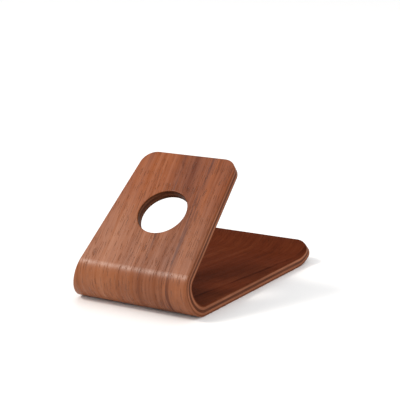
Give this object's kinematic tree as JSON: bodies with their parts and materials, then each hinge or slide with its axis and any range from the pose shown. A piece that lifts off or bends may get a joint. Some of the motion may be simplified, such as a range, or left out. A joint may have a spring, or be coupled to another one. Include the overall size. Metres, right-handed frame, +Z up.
{
  "type": "phone stand",
  "caption": "Low phone stand bent from one strip of walnut-faced plywood: flat base, round rear bend, forward-leaning leaf with a round cable hole, and a shallow curled front lip.",
  "frame": {"origin": "desk level, in the middle of the stand's width and depth", "axes": "+Z up; +X across the width; -Y towards the user and the front lip; +Y to the rear bend"},
  "size_m": [0.056, 0.1012, 0.0525],
  "materials": {
    "walnut_face": "satin oiled walnut face veneer",
    "walnut_core": "sanded and oiled ply edge, lighter long-grain layer",
    "walnut_cross": "sanded and oiled ply edge, darker end-grain layer"
  },
  "bodies": {
    "root": {"outer_face_veneer": "walnut_face", "outer_core_ply": "walnut_core", "centre_cross_ply": "walnut_cross", "inner_core_ply": "walnut_core", "inner_face_veneer": "walnut_face"}
  },
  "joints": []
}
